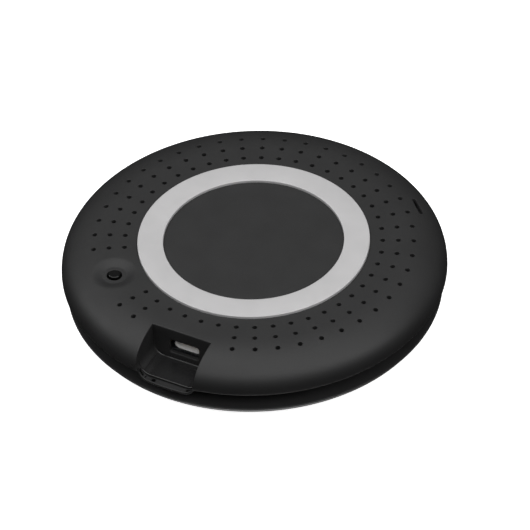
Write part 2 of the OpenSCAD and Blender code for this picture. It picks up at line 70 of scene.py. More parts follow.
# ---------------------------------------------------------------- sizes, in mm, on the CAD's frame

BODY_R = CAD_HIGH.x / MM
RING_TOP_Z = CAD_HIGH.z / MM
RING_PROUD = 0.7
TOP_Z = RING_TOP_Z - RING_PROUD
FLAT_R = 44.75
DOME_DROP = 9.43
DOME_POWER = 2.332
WIDEST_Z = TOP_Z - DOME_DROP
SHELL_EDGE_Z = WIDEST_Z - 0.57
SHELL_EDGE_R = BODY_R - 0.7
SKIN = 2.0
SKIN_Z = TOP_Z - SKIN
INNER_EDGE_R = BODY_R - 2.4
INNER_FLAT_R = 51.0

RING_R = 36.0
RING_IN_R = 28.0
RECESS_Z = TOP_Z - 1.2
CENTRE_FLOOR_Z = RECESS_Z - 1.4

HOLE_COLUMNS = 45
HOLE_PHASE = 2
HOLE_RING_R = 40.0
HOLE_RING_STEP = 4.8
HOLE_R = 0.75

BUTTON_ANGLE = 225.2
BUTTON_R = 45.0
DISH_R = 7.4
DISH_FLOOR_R = 3.7
DISH_DEPTH = 1.0
BUTTON_HOLE_R = 2.4

MIC_ANGLE = 45
MIC_R = 53.7
MIC_SLOT_L = 7.6
MIC_SLOT_W = 1.4

BAY_HALF = 10.0
BAY_BACK_Y = -47.2
BAY_FLOOR_Z = TOP_Z - 11.66
BAY_CORNER = 3.8
BAY_WALL = 1.3
BAY_FRONT_Y = -56.7
TRAY_EDGE = 0.45
TRAY_STEP_Y = -53.8
CHIN_GAP = 0.15
CHIN_WALL = 1.2
CHIN_BACK_Y = -50.4
CHIN_FRONT_Y = BAY_FRONT_Y - CHIN_GAP
SADDLE_FRONT_Y = -55.8
LIP_DROP = 1.3
LIP_WALL = 0.75
LEDGE_T = 0.36
RIM_W = 0.55

PORT_X = 0.55
PORT_SLOT_W = 10.2
PORT_SLOT_TOP_Z = TOP_Z - 4.3
PORT_SLOT_LOW_Z = 13.6

WAIST_R = 51.6
COVER_Z = 11.2
COVER_T = 1.4
COVER_IN_R = 48.0
BASE_R = 58.6
BASE_RIM_Z = 6.4
BASE_FLANK_Z = 3.6
BASE_Z = 1.3
COVE_TOP_Z = 6.65
FLOOR_Z = 3.0
FOOT_IN_R = 29.0
FOOT_OUT_R = 49.0
FOOT_TOP_Z = 1.9
FOOT_GAP = 0.1
# The floor lies this far below the foot, so that the two never share a plane
FLOOR_GAP = 0.1

COVER_RIM_Z = SHELL_EDGE_Z - 0.05
# Left and right ends of the openings in the chin's ledge
CHIN_SLOTS = ((-10.3, -8.1), (-7.6, -7.2), (-5.2, -3.9), (6.5, 10.3))
# Height that the bay's and the dish's cutters reach, above the whole body
CUT_TOP_Z = 30

TONGUE_W = 6.69
TONGUE_H = 0.7

# Segments of the large turned parts, of the smaller ones, and steps of a rounded lip
FINE_TURN = 480
TURN = 360
LIP_STEPS = 4


# ---------------------------------------------------------------- mesh helpers


def new_object(name, verts, faces):
    mesh = bpy.data.meshes.new(name)
    mesh.from_pydata([tuple(c * MM for c in v) for v in verts], [], faces)
    mesh.validate()
    obj = bpy.data.objects.new(name, mesh)
    bpy.context.scene.collection.objects.link(obj)
    fix_normals(obj)
    return obj


def fix_normals(obj):
    bm = bmesh.new()
    bm.from_mesh(obj.data)
    bmesh.ops.recalc_face_normals(bm, faces=bm.faces)
    bm.to_mesh(obj.data)
    bm.free()


def even_angles(count):
    return [2 * math.pi * i / count for i in range(count)]


def quarter(steps, first=0):
    """Angles from 0 to 90 degrees in equal steps, in radians."""
    return [math.pi / 2 * k / steps for k in range(first, steps + 1)]


def lathe(name, profile, segments=TURN):
    """A closed profile of (radius, height) turned about Z. Points on the axis become one vertex each."""
    on_axis = 1e-6
    angles = even_angles(segments)
    verts, faces, rows = [], [], []
    for r, z in profile:
        if r < on_axis:
            rows.append([len(verts)] * len(angles))
            verts.append((0, 0, z))
        else:
            rows.append(list(range(len(verts), len(verts) + len(angles))))
            verts += [(r * math.cos(a), r * math.sin(a), z) for a in angles]
    for lower, upper in zip(rows, rows[1:] + rows[:1]):
        if lower[0] == lower[1] and upper[0] == upper[1]:
            continue
        for i in range(len(angles)):
            j = (i + 1) % len(angles)
            loop = [lower[i], lower[j], upper[j], upper[i]]
            faces.append(list(dict.fromkeys(loop)))
    return new_object(name, verts, faces)


def loft(name, sections):
    """A solid through closed sections with the same number of points, capped at both ends."""
    count = len(sections[0])
    verts = [p for s in sections for p in s]
    faces = [list(range(count)), list(range(len(verts) - count, len(verts)))]
    for k in range(len(sections) - 1):
        for i in range(count):
            j = (i + 1) % count
            faces.append([k * count + i, k * count + j, (k + 1) * count + j, (k + 1) * count + i])
    return new_object(name, verts, faces)


def rounded(points, radii, steps=5):
    """A closed outline with each corner rounded by its radius; radius 0 keeps the corner."""
    nearly_straight = math.pi / 2 - 0.02
    out = []
    total = len(points)
    for i, (point, radius) in enumerate(zip(points, radii)):
        if radius <= 0:
            out.append(tuple(point))
            continue
        p = np.array(point, float)
        to_prev = np.array(points[i - 1], float) - p
        to_next = np.array(points[(i + 1) % total], float) - p
        to_prev /= np.linalg.norm(to_prev)
        to_next /= np.linalg.norm(to_next)
        half = math.acos(max(-1, min(1, float(to_prev @ to_next)))) / 2
        if half > nearly_straight:
            out.append(tuple(point))
            continue
        reach = radius / math.tan(half)
        middle = (to_prev + to_next) / np.linalg.norm(to_prev + to_next)
        centre = p + middle * radius / math.sin(half)
        start, end = p + to_prev * reach - centre, p + to_next * reach - centre
        a0 = math.atan2(start[1], start[0])
        sweep = (math.atan2(end[1], end[0]) - a0 + math.pi) % (2 * math.pi) - math.pi
        for k in range(steps + 1):
            a = a0 + sweep * k / steps
            out.append((centre[0] + radius * math.cos(a), centre[1] + radius * math.sin(a)))
    return out


def boolean(target, tool, operation="DIFFERENCE"):
    """Cuts, joins or intersects target with tool, and deletes tool."""
    modifier = target.modifiers.new("boolean", "BOOLEAN")
    modifier.operation = operation
    modifier.object = tool
    modifier.solver = "MANIFOLD"
    graph = bpy.context.evaluated_depsgraph_get()
    result = bpy.data.meshes.new_from_object(target.evaluated_get(graph))
    target.modifiers.clear()
    old = target.data
    target.data = result
    bpy.data.meshes.remove(old)
    bpy.data.objects.remove(tool)
    target.data.name = target.name


def join(objects, name):
    """One object holding the meshes of several, which are deleted."""
    bm = bmesh.new()
    for obj in objects:
        bm.from_mesh(obj.data)
        bpy.data.objects.remove(obj)
    mesh = bpy.data.meshes.new(name)
    bm.to_mesh(mesh)
    bm.free()
    obj = bpy.data.objects.new(name, mesh)
    bpy.context.scene.collection.objects.link(obj)
    return obj


def move_mesh(obj, matrix):
    obj.data.transform(matrix)
    return obj


def smooth(obj, angle=32):
    obj.data.shade_smooth()
    obj.data.set_sharp_from_angle(angle=math.radians(angle))


def polar(angle, r, z=0):
    a = math.radians(angle)
    return (r * math.cos(a), r * math.sin(a), z)


def place(angle, r, z=0, tilt=0):
    """Matrix that puts a mesh at a polar place, leaning outwards by tilt degrees."""
    turn = Matrix.Rotation(math.radians(angle), 4, "Z")
    lean = Matrix.Rotation(math.radians(tilt), 4, "Y")
    return turn @ Matrix.Translation((r * MM, 0, z * MM)) @ lean


# ---------------------------------------------------------------- the dome's surface


def dome_z(r):
    """Height of the dome at a distance from the axis."""
    u = np.clip((np.asarray(r, float) - FLAT_R) / (BODY_R - FLAT_R), 0, 1)
    return WIDEST_Z + DOME_DROP * (1 - u ** DOME_POWER) ** (1 / DOME_POWER)


def dish_drop(x, y):
    """How far the finger dish lowers the surface: a flat floor, a crease and a wall that eases out."""
    bx, by, _ = polar(BUTTON_ANGLE, BUTTON_R)
    d = np.hypot(np.asarray(x) - bx, np.asarray(y) - by)
    t = np.clip((d - DISH_FLOOR_R) / (DISH_R - DISH_FLOOR_R), 0, 1)
    wall = 0.6 * np.sin(t * math.pi / 2) + 0.4 * t * t * (3 - 2 * t)
    return DISH_DEPTH * (1 - wall)


def surface_z(x, y):
    return dome_z(np.hypot(x, y)) - dish_drop(x, y)


def dome_tilt(r):
    """Lean of the dome's normal away from upright, in degrees."""
    step = 0.01
    return math.degrees(math.atan2(float(dome_z(r - step) - dome_z(r + step)), 2 * step))


def dome_normals(points):
    """Unit normals of the outer surface at an array of points on it."""
    x, y, z = points.T
    r = np.hypot(x, y)
    tiny = 1e-9
    step = 0.02
    u = np.clip((r - FLAT_R) / (BODY_R - FLAT_R), 0, 1)
    v = np.clip((z - WIDEST_Z) / DOME_DROP, 0, 1)
    out = u ** (DOME_POWER - 1) / (BODY_R - FLAT_R)
    up = np.maximum(v ** (DOME_POWER - 1) / DOME_DROP, tiny)
    normals = np.stack([out * x / r, out * y / r, up], axis=1)
    dish_x = (dish_drop(x + step, y) - dish_drop(x - step, y)) / (2 * step)
    dish_y = (dish_drop(x, y + step) - dish_drop(x, y - step)) / (2 * step)
    normals /= normals[:, 2:3].clip(tiny)
    normals[:, 0] += dish_x
    normals[:, 1] += dish_y
    return normals / np.linalg.norm(normals, axis=1, keepdims=True)


def dome_curve(r0, r1, z0, z1, steps):
    """The dome's quarter curve as (radius, height) points, from flat at r0, z0 to upright at r1, z1."""
    power = 2 / DOME_POWER
    return [(r0 + (r1 - r0) * math.sin(t) ** power, z1 + (z0 - z1) * math.cos(t) ** power)
            for t in quarter(steps)]


def bay_outline(grow, top_z, cove=0, steps=10, spans=14):
    """The bay seen from the front as (x, z) points: left top, down round the floor, right top.

    cove lifts the floor, and fades out up the corners.
    """
    cx, cz = BAY_HALF - BAY_CORNER, BAY_FLOOR_Z + BAY_CORNER
    left = [(-BAY_HALF - grow, top_z)]
    for a in quarter(steps):
        r = BAY_CORNER + grow - cove * math.sin(a)
        left.append((-cx - r * math.cos(a), cz - r * math.sin(a)))
    floor_z = BAY_FLOOR_Z - grow + cove
    floor = [(-cx + 2 * cx * i / spans, floor_z) for i in range(1, spans)]
    return left + floor + [(-x, z) for x, z in reversed(left)]


def bay_prism(name, grow, y0, y1, drop=0):
    """The bay's outline, grown by a margin and lowered by drop, pushed from y0 to y1."""
    outline = bay_outline(grow, CUT_TOP_Z)
    return loft(name, [[(x, y, z - drop) for x, z in outline] for y in (y0, y1)])


def chin_mouth(name, wall, y0, y1):
    """The bay's outline set lower and narrowed by a wall."""
    return bay_prism(name, -wall, y0, y1, LIP_DROP)


# ---------------------------------------------------------------- top shell


def shell_blank():
    """The dome as a turned solid."""
    lip = 0.15
    outer_steps, inner_steps = 60, 16
    recess_r = RING_R + 0.1
    centre_r = RING_R + 1.2
    curve = dome_curve(FLAT_R, BODY_R, TOP_Z, WIDEST_Z, outer_steps)
    edge = [(BODY_R - 0.05, WIDEST_Z - 0.2), (BODY_R - 0.25, WIDEST_Z - 0.4),
            (SHELL_EDGE_R + 0.05, SHELL_EDGE_Z + 0.04), (SHELL_EDGE_R - 0.1, SHELL_EDGE_Z)]
    inside = list(reversed(dome_curve(INNER_FLAT_R, INNER_EDGE_R, SKIN_Z, SHELL_EDGE_Z, inner_steps)))
    profile = [(0, RECESS_Z), (recess_r, RECESS_Z), (recess_r, TOP_Z - lip)]
    profile += [(recess_r + lip * 0.3, TOP_Z - lip * 0.3), (recess_r + lip, TOP_Z)]
    profile += curve + edge + inside
    profile += [(centre_r, SKIN_Z), (centre_r, CENTRE_FLOOR_Z), (0, CENTRE_FLOOR_Z)]
    return lathe("shell", profile, FINE_TURN)


def dish_cutter(segments=128):
    """Cutter whose underside is the finger dish, which follows the dome."""
    steps, short = 16, 0.15
    floor_rings = [1.2, 2.4]
    bx, by, _ = polar(BUTTON_ANGLE, BUTTON_R)
    walls = [DISH_FLOOR_R + (DISH_R - short - DISH_FLOOR_R) * k / steps for k in range(steps + 1)]
    verts, faces = [(bx, by, float(surface_z(bx, by)))], []
    for d in floor_rings + walls:
        for a in even_angles(segments):
            x, y = bx + d * math.cos(a), by + d * math.sin(a)
            verts.append((x, y, float(surface_z(x, y))))
    last = 1 + segments * (len(walls) + 1)
    for x, y, _ in verts[last:last + segments]:
        verts.append((x, y, CUT_TOP_Z))
    rows = [range(1 + k * segments, 1 + (k + 1) * segments) for k in range(len(walls) + 3)]
    for i in range(segments):
        j = (i + 1) % segments
        faces.append([0, rows[0][i], rows[0][j]])
        faces += [[low[i], low[j], high[j], high[i]] for low, high in zip(rows, rows[1:])]
    faces.append(list(rows[-1]))
    return new_object("dish_cutter", verts, faces)


def drill(r, depth, lip, segments=28):
    """A drill for a round hole whose mouth is at z = 0, with a rounded lip."""
    above = 0.6
    profile = [(0, -depth), (r, -depth), (r, -lip)]
    profile += [(r + lip * (1 - math.cos(a)), -lip * (1 - math.sin(a))) for a in quarter(LIP_STEPS, 1)]
    profile += [(r + lip, above), (0, above)]
    return lathe("drill", profile, segments)


def hole_places():
    """(angle, radius) of every sound hole: none by the button, and one ring only behind the bay."""
    button_room, bay_angle, bay_room = 9, 270, 13
    for k in range(HOLE_COLUMNS):
        angle = HOLE_PHASE + k * 360 / HOLE_COLUMNS
        if abs(angle - BUTTON_ANGLE) < button_room:
            continue
        rings = 1 if abs(angle - bay_angle) < bay_room else 3
        for ring in range(rings):
            yield angle, HOLE_RING_R + ring * HOLE_RING_STEP


def sound_drills():
    lip = 0.13
    drills = []
    for angle, r in hole_places():
        spot = place(angle, r, float(dome_z(r)), dome_tilt(r))
        drills.append(move_mesh(drill(HOLE_R, SKIN + 1, lip), spot))
    return join(drills, "sound_drills")


def mic_cutter():
    """A rounded slot with a soft lip, square to the dome."""
    lip, depth, above = 0.15, 3.5, 0.8
    half = (MIC_SLOT_L - MIC_SLOT_W) / 2
    steps = 10
    levels = [(-depth, 0)]
    levels += [(-lip * (1 - math.sin(a)), lip * (1 - math.cos(a))) for a in quarter(LIP_STEPS)]
    levels += [(above, lip)]
    sections = []
    for z, grow in levels:
        r = MIC_SLOT_W / 2 + grow
        ends = [(side * half, 90 - 90 * side, side) for side in (1, -1)]
        section = []
        for y0, a0, side in ends:
            for k in range(steps + 1):
                a = math.radians(a0 + 180 * k / steps)
                section.append((r * math.cos(a), y0 + r * math.sin(a), z))
        sections.append(section)
    spot = place(MIC_ANGLE, MIC_R, float(dome_z(MIC_R)), dome_tilt(MIC_R))
    return move_mesh(loft("mic_cutter", sections), spot)


def bay_lip_cutter(radius=0.35):
    """Rounds the bay's top edge all the way round its three sides, with mitred corners."""
    spacing, inside, above, arc_steps = 0.6, 0.6, 1.5, 5
    outside_y = [-61.5, -60.6]
    steep_y = np.linspace(-59.05, -56.5, 18)
    wall_y = np.linspace(-56.2, BAY_BACK_Y - spacing, 20)
    back_x = np.linspace(-BAY_HALF + spacing, BAY_HALF - spacing, 16)
    side_y = outside_y + list(steep_y) + list(wall_y)
    stations = [(-BAY_HALF, y, -1, 0) for y in side_y]
    stations.append((-BAY_HALF, BAY_BACK_Y, -1, 1))
    stations += [(x, BAY_BACK_Y, 0, 1) for x in back_x]
    stations.append((BAY_HALF, BAY_BACK_Y, 1, 1))
    stations += [(BAY_HALF, y, 1, 0) for y in reversed(side_y)]
    arc = [(radius * (1 - math.cos(a)), radius * (1 - math.sin(a))) for a in quarter(arc_steps)]
    section = [(-inside, radius)] + arc + [(radius, -above), (-inside, -above)]
    widest = BODY_R - 0.02
    sections = []
    for x, y, mx, my in stations:
        ring = []
        for out, down in section:
            px, py = x + mx * out, y + my * out
            reach = min(math.hypot(px, py), widest)
            ring.append((px, py, float(dome_z(reach)) - down))
        sections.append(ring)
    return loft("bay_lip_cutter", sections)


def bay_tray():
    """Walls, floor and back of the port bay, with a cove at the back and a soft front edge."""
    overlap = 0.01
    tray = bay_prism("tray", BAY_WALL, TRAY_STEP_Y, BAY_BACK_Y + BAY_WALL)
    front = bay_prism("tray_edge", TRAY_EDGE, BAY_FRONT_Y, TRAY_STEP_Y + overlap)
    boolean(tray, front, "UNION")
    boolean(tray, tray_limit(), "INTERSECT")
    boolean(tray, bay_space())
    return tray


def tray_limit():
    """A solid just inside the dome's outer surface, which trims the tray."""
    sunk, low_z, steps = 0.6, 5, 40
    keel_r = INNER_EDGE_R - 0.2
    inner = [(r - sunk * 0.7, z - sunk) for r, z in dome_curve(FLAT_R, BODY_R, TOP_Z, WIDEST_Z, steps)]
    profile = [(0, low_z), (keel_r, low_z), (keel_r, SHELL_EDGE_Z)]
    profile += list(reversed(inner)) + [(0, TOP_Z - sunk)]
    return lathe("tray_limit", profile, FINE_TURN)


def bay_space():
    """The room inside the bay: flared at the front edge, and lifted by a cove at the back."""
    fillet, cove, steps, clear = 0.3, 0.45, 6, 4
    arc = quarter(steps, 1)
    levels = [(BAY_FRONT_Y - clear, fillet, 0), (BAY_FRONT_Y, fillet, 0)]
    levels += [(BAY_FRONT_Y + fillet * math.sin(a), fillet * math.cos(a), 0) for a in arc]
    levels += [(BAY_BACK_Y - cove, 0, 0)]
    levels += [(BAY_BACK_Y - cove * (1 - math.sin(a)), 0, cove * (1 - math.cos(a))) for a in arc]
    return loft("bay_space", [[(x, y, z) for x, z in bay_outline(grow, CUT_TOP_Z, lift)]
                              for y, grow, lift in levels])


def port_window():
    """Cutter for the port's window in the back wall, with a rounded rim towards the bay."""
    rim, corner, clear = 0.25, 0.8, 1.5
    levels = [(BAY_BACK_Y + BAY_WALL + 1, 0), (BAY_BACK_Y + rim, 0)]
    levels += [(BAY_BACK_Y + rim * (1 - math.sin(a)), rim * (1 - math.cos(a)))
               for a in quarter(LIP_STEPS, 1)]
    levels += [(BAY_BACK_Y - clear, rim)]
    sections = []
    for y, grow in levels:
        w, low, high = PORT_SLOT_W / 2 + grow, PORT_SLOT_LOW_Z - grow, PORT_SLOT_TOP_Z + grow
        box = [(PORT_X - w, low), (PORT_X + w, low), (PORT_X + w, high), (PORT_X - w, high)]
        sections.append([(x, y, z) for x, z in rounded(box, [corner + grow] * 4)])
    return loft("port_window", sections)


def shade_dome(obj):
    """Gives the outer surface its exact normals, so that the dome and the dish shade as one smooth form.

    Each corner takes the normal of a point a little way towards its face's middle, which keeps a corner
    on the dish's crease on its own side.
    """
    towards_middle = 0.04
    smooth(obj, 35)
    mesh = obj.data
    co = np.array([v.co for v in mesh.vertices]) / MM
    x, y, z = co.T
    r = np.hypot(x, y)
    tolerance = 0.02 + 0.05 * (r > BODY_R - 2)
    outer = (r > RING_R + 0.24) & (z > WIDEST_Z - 0.001) & (np.abs(z - surface_z(x, y)) < tolerance)
    normals = np.array([c.vector for c in mesh.corner_normals])
    for poly in mesh.polygons:
        corners = np.array(poly.vertices)
        if not outer[corners].all() or poly.normal.z < 0.02:
            continue
        centre = co[corners].mean(axis=0)
        points = co[corners] + towards_middle * (centre - co[corners])
        normals[list(poly.loop_indices)] = dome_normals(points)
    mesh.normals_split_custom_set([tuple(n) for n in normals])


def make_top_shell():
    """The dome with its holes, slot, dish and port bay."""
    shell = shell_blank()
    boolean(shell, dish_cutter())
    boolean(shell, sound_drills())
    boolean(shell, mic_cutter())
    button_hole = drill(BUTTON_HOLE_R, SKIN + 1, 0.1, 64)
    boolean(shell, move_mesh(button_hole, place(BUTTON_ANGLE, BUTTON_R, TOP_Z - DISH_DEPTH)))
    boolean(shell, bay_prism("bay_cut", 0, -BODY_R - 2, BAY_BACK_Y))
    boolean(shell, bay_lip_cutter())
    tray = bay_tray()
    boolean(tray, port_window())
    boolean(shell, tray, "UNION")
    shell.name = "dome_shell"
    shade_dome(shell)
    return shell


# ---------------------------------------------------------------- trim, covers and base


def make_trim_ring():
    edge = 0.22
    corners = [(RING_IN_R, RECESS_Z), (RING_R, RECESS_Z), (RING_R, RING_TOP_Z), (RING_IN_R, RING_TOP_Z)]
    return lathe("silver_ring", rounded(corners, [0, 0, edge, edge], 6), FINE_TURN)


def make_centre_disc():
    r = RING_IN_R - 0.1
    inner_r, edge, ring_count = 0.5, 0.2, 12
    corners = [(inner_r, RECESS_Z), (r, RECESS_Z), (r, TOP_Z), (inner_r, TOP_Z)]
    lip = rounded(corners, [0, 0, edge, 0], 5)
    rings = [(r * k / ring_count, TOP_Z) for k in range(ring_count - 1, 0, -1)]
    profile = [(0, RECESS_Z)] + lip[1:-1] + rings + [(0, TOP_Z)]
    return lathe("top_disc", profile)


def make_lower_cover():
    """The annular cover under the dome, with the chin, its slots, ribs and tongue."""
    rim_z = COVER_RIM_Z
    lip_r = INNER_EDGE_R - 0.15
    lip_t = lip_h = 1.2
    top_z = COVER_Z + COVER_T
    overlap = 0.01
    corners = [(COVER_IN_R, COVER_Z), (WAIST_R + 0.6, COVER_Z), (WAIST_R + 3.6, COVER_Z + 0.45),
               (SHELL_EDGE_R - 1.2, rim_z - 0.5), (SHELL_EDGE_R - 0.05, rim_z), (lip_r, rim_z),
               (lip_r, rim_z + lip_h), (lip_r - lip_t, rim_z + lip_h), (lip_r - lip_t, rim_z),
               (WAIST_R + 3, top_z + 0.2), (WAIST_R, top_z), (COVER_IN_R, top_z)]
    radii = [0.2, 6, 8, 1.2, 0.15, 0, 0.2, 0.2, 0, 0, 0, 0.2]
    cover = lathe("under_cover", rounded(corners, radii, 6))
    notch_y = BAY_BACK_Y + BAY_WALL + 0.4
    boolean(cover, bay_prism("tray_notch", BAY_WALL + CHIN_GAP, CHIN_FRONT_Y, notch_y))
    boolean(cover, chin_mouth("mouth_notch", LIP_WALL, -BODY_R - 2, CHIN_FRONT_Y + overlap))
    boolean(cover, make_chin(), "UNION")
    for x0, x1 in CHIN_SLOTS:
        boolean(cover, chin_slot(x0, x1))
    smooth(cover, 35)
    return cover


def chin_slot(x0, x1):
    """Cutter for an opening in the ledge that stops short of the rim."""
    depth, corner = 1.8, 0.15
    back_y = CHIN_FRONT_Y - 0.15
    slot = block("slot", (x0, x1), (back_y - depth, back_y), (0, TOP_Z), corner)
    reach = SHELL_EDGE_R - RIM_W
    boolean(slot, lathe("reach", [(0, 0), (reach, 0), (reach, TOP_Z), (0, TOP_Z)]), "INTERSECT")
    return slot


def make_lip():
    """Thin lip round the bay's mouth: a ledge with a rounded rim, swept along the mouth's outline."""
    top_z = COVER_RIM_Z + LIP_DROP
    soft = 0.2
    back_y = TRAY_STEP_Y - CHIN_GAP
    groove = soft * 0.7
    box = [(0, 0), (1, 0), (1, LIP_WALL), (1 - RIM_W, LIP_WALL), (1 - RIM_W, LEDGE_T), (0, LEDGE_T)]
    rim = rounded(box, [0, soft, soft, groove, groove, 0], 5)
    outlines = {n: bay_outline(-n, top_z) for n in {round(n, 6) for _, n in rim}}
    sections = []
    for i in range(len(outlines[0])):
        section = []
        for along, n in rim:
            x, z = outlines[round(n, 6)][i]
            front_y = -math.sqrt(SHELL_EDGE_R ** 2 - x * x)
            section.append((x, back_y if along <= 0 else front_y + 1 - along, z - LIP_DROP))
        sections.append(section)
    return loft("lip", sections)


def make_chin():
    """Saddle under the tray, joined to the lip."""
    step_y = TRAY_STEP_Y - CHIN_GAP
    chin = bay_prism("chin", BAY_WALL + CHIN_GAP + CHIN_WALL, SADDLE_FRONT_Y, CHIN_BACK_Y)
    boolean(chin, bay_prism("saddle", BAY_WALL + CHIN_GAP, step_y, CHIN_BACK_Y + 1))
    limit = [(0, 0), (SHELL_EDGE_R, 0), (SHELL_EDGE_R, COVER_RIM_Z), (0, COVER_RIM_Z)]
    boolean(chin, lathe("chin_limit", limit), "INTERSECT")
    boolean(chin, make_lip(), "UNION")
    boolean(chin, bay_prism("edge_room", TRAY_EDGE + CHIN_GAP, CHIN_FRONT_Y, CHIN_BACK_Y + 1))
    return chin


def block(name, xs, ys, zs, corner):
    """A box with rounded upright corners."""
    outline = rounded([(xs[0], ys[0]), (xs[1], ys[0]), (xs[1], ys[1]), (xs[0], ys[1])], [corner] * 4, 3)
    return loft(name, [[(x, y, z) for x, y in outline] for z in zs])


def make_cord_hub():
    """The waist that the cable winds round, open where the chin passes."""
    wall = 1.8
    gap = 0.02
    corners = [(WAIST_R - wall, FLOOR_Z + gap), (WAIST_R, FLOOR_Z + gap), (WAIST_R, COVER_Z - gap),
               (WAIST_R - wall, COVER_Z - gap)]
    hub = lathe("waist", rounded(corners, [0.1] * 4, 3))
    margin = BAY_WALL + CHIN_GAP + CHIN_WALL + 0.2
    boolean(hub, bay_prism("hub_notch", margin, -BODY_R, BAY_BACK_Y))
    smooth(hub)
    return hub


def make_base_plate():
    """A shallow bowl with a nearly flat upper edge and a groove for the foot."""
    cove_r = WAIST_R + 0.1
    rim_r, rim_z = BASE_R - 0.5, BASE_RIM_Z + 0.02
    foot_in_r, foot_out_r = FOOT_IN_R - FOOT_GAP, FOOT_OUT_R + FOOT_GAP
    steps = 14
    cove = [(cove_r + (rim_r - cove_r) * (1 - i / steps),
             rim_z + (COVE_TOP_Z - BASE_RIM_Z) * (i / steps) ** 2) for i in range(steps + 1)]
    corners = [(0.5, BASE_Z), (foot_in_r, BASE_Z), (foot_in_r, FOOT_TOP_Z), (foot_out_r, FOOT_TOP_Z),
               (foot_out_r, BASE_Z), (BASE_R - 6.2, BASE_Z), (BASE_R - 1.7, BASE_FLANK_Z),
               (BASE_R, BASE_RIM_Z - 0.35), (BASE_R, BASE_RIM_Z)]
    radii = [0, 0.1, 0, 0, 0.1, 2, 3, 0.3, 0.25]
    outline = rounded(corners + [cove[0]], radii + [0], 5)
    rings = [(12, BASE_Z), (24, BASE_Z)]
    profile = [(0, BASE_Z)] + rings + outline[1:-1] + cove + [(cove_r, FLOOR_Z), (0, FLOOR_Z)]
    return lathe("base_dish", profile, FINE_TURN)


def make_foot_ring():
    edge = 0.4
    corners = [(FOOT_IN_R, 0), (FOOT_OUT_R, 0), (FOOT_OUT_R, FOOT_TOP_Z), (FOOT_IN_R, FOOT_TOP_Z)]
    return lathe("rubber_foot", rounded(corners, [edge, edge, 0, 0], 5))


# ---------------------------------------------------------------- button and port


def make_button_cap():
    """Cap with a slightly hollow top, a flange under the skin and a stem down to the switch."""
    low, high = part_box("button_cap")
    top = high.z / MM
    foot = low.z / MM
    cap_r, edge, stem_r, flange_r = 1.88, 0.38, 1.3, 3.0
    flange_top = SKIN_Z - 0.3
    flange_low = flange_top - 0.8
    soft, inner_r = 0.1, 0.2
    corners = [(inner_r, foot), (stem_r, foot), (stem_r, flange_low), (flange_r, flange_low),
               (flange_r, flange_top), (cap_r, flange_top), (cap_r, top), (inner_r, top - 0.12)]
    outline = rounded(corners, [0, soft, soft, soft, soft, 0, edge, 0], 6)
    profile = [(0, foot)] + outline[1:-1] + [(1.0, top - 0.08), (0, top - 0.1)]
    cap = lathe("call_button", profile, 96)
    smooth(cap, 50)
    return move_mesh(cap, place(BUTTON_ANGLE, BUTTON_R))


def rounded_bar(w, h, corner, steps):
    """A centred rectangle with rounded corners."""
    x, y = w / 2, h / 2
    return rounded([(-x, -y), (x, -y), (x, y), (-x, y)], [corner] * 4, steps)


def make_receptacle():
    """The port's metal shell: a drawn tube with a rolled mouth."""
    low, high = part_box("usb_receptacle")
    w, h = (high.x - low.x) / MM, (high.z - low.z) / MM
    cx, cz = (high.x + low.x) / 2 / MM, (high.z + low.z) / 2 / MM
    y0, y1 = low.y / MM, high.y / MM
    wall, roll, back_t, corner_steps = 0.3, 0.12, 0.6, 10
    tuck = roll * 0.3
    levels = [(y1, 0), (y0 + roll, 0), (y0 + tuck, tuck), (y0, roll), (y0, wall - roll),
              (y0 + tuck, wall - tuck), (y0 + roll, wall), (y1 - back_t, wall)]
    sections = []
    for y, inset in levels:
        corner = h / 2 - inset - 0.001
        outline = rounded_bar(w - 2 * inset, h - 2 * inset, corner, corner_steps)
        sections.append([(cx + x, y, cz + z) for x, z in outline])
    tube = loft("port_shell", sections)
    smooth(tube, 40)
    return tube


def make_tongue():
    """The port's tongue, with the plug that closes the shell behind it."""
    low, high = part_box("usb_tongue")
    rec_low, rec_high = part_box("usb_receptacle")
    cx, cz = (low.x + high.x) / 2 / MM, (rec_low.z + rec_high.z) / 2 / MM
    y0, y1 = low.y / MM, high.y / MM
    nose_l, root_l, plug_l, gap, plug_corner = 0.3, 1.2, 1.4, 0.02, 1.2
    outline = rounded_bar(TONGUE_W, TONGUE_H, 0.16, 4)
    nose = rounded_bar(TONGUE_W - 0.5, TONGUE_H - 0.3, 0.1, 4)
    sections = [[(cx + x, y, cz + z) for x, z in shape]
                for y, shape in ((y0, nose), (y0 + nose_l, outline), (y1 - root_l, outline))]
    tongue = loft("port_tongue", sections)
    plug = rounded_bar((high.x - low.x) / MM - gap, (high.z - low.z) / MM - gap, plug_corner, 8)
    back = loft("plug", [[(cx + x, y, cz + z) for x, z in plug] for y in (y1 - plug_l, y1)])
    boolean(tongue, back, "UNION")
    smooth(tongue)
    return tongue


def make_contacts():
    """Gold contact fingers on both faces of the tongue."""
    low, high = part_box("usb_tongue")
    rec_low, rec_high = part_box("usb_receptacle")
    cx, cz = (low.x + high.x) / 2 / MM, (rec_low.z + rec_high.z) / 2 / MM
    y0 = low.y / MM
    pitch, half_w, half_t, count = 0.5, 0.135, 0.03, 12
    from_nose, to_root, off_centre, corner = 0.45, 3.4, 0.36, 0.05
    ys = (y0 + from_nose, y0 + to_root)
    fingers = []
    for side in (-1, 1):
        for k in range(count):
            x = cx + (k - (count - 1) / 2) * pitch
            z = cz + side * off_centre
            fingers.append(block("finger", (x - half_w, x + half_w), ys, (z - half_t, z + half_t), corner))
    contacts = join(fingers, "port_contacts")
    smooth(contacts)
    return contacts


# ---------------------------------------------------------------- materials


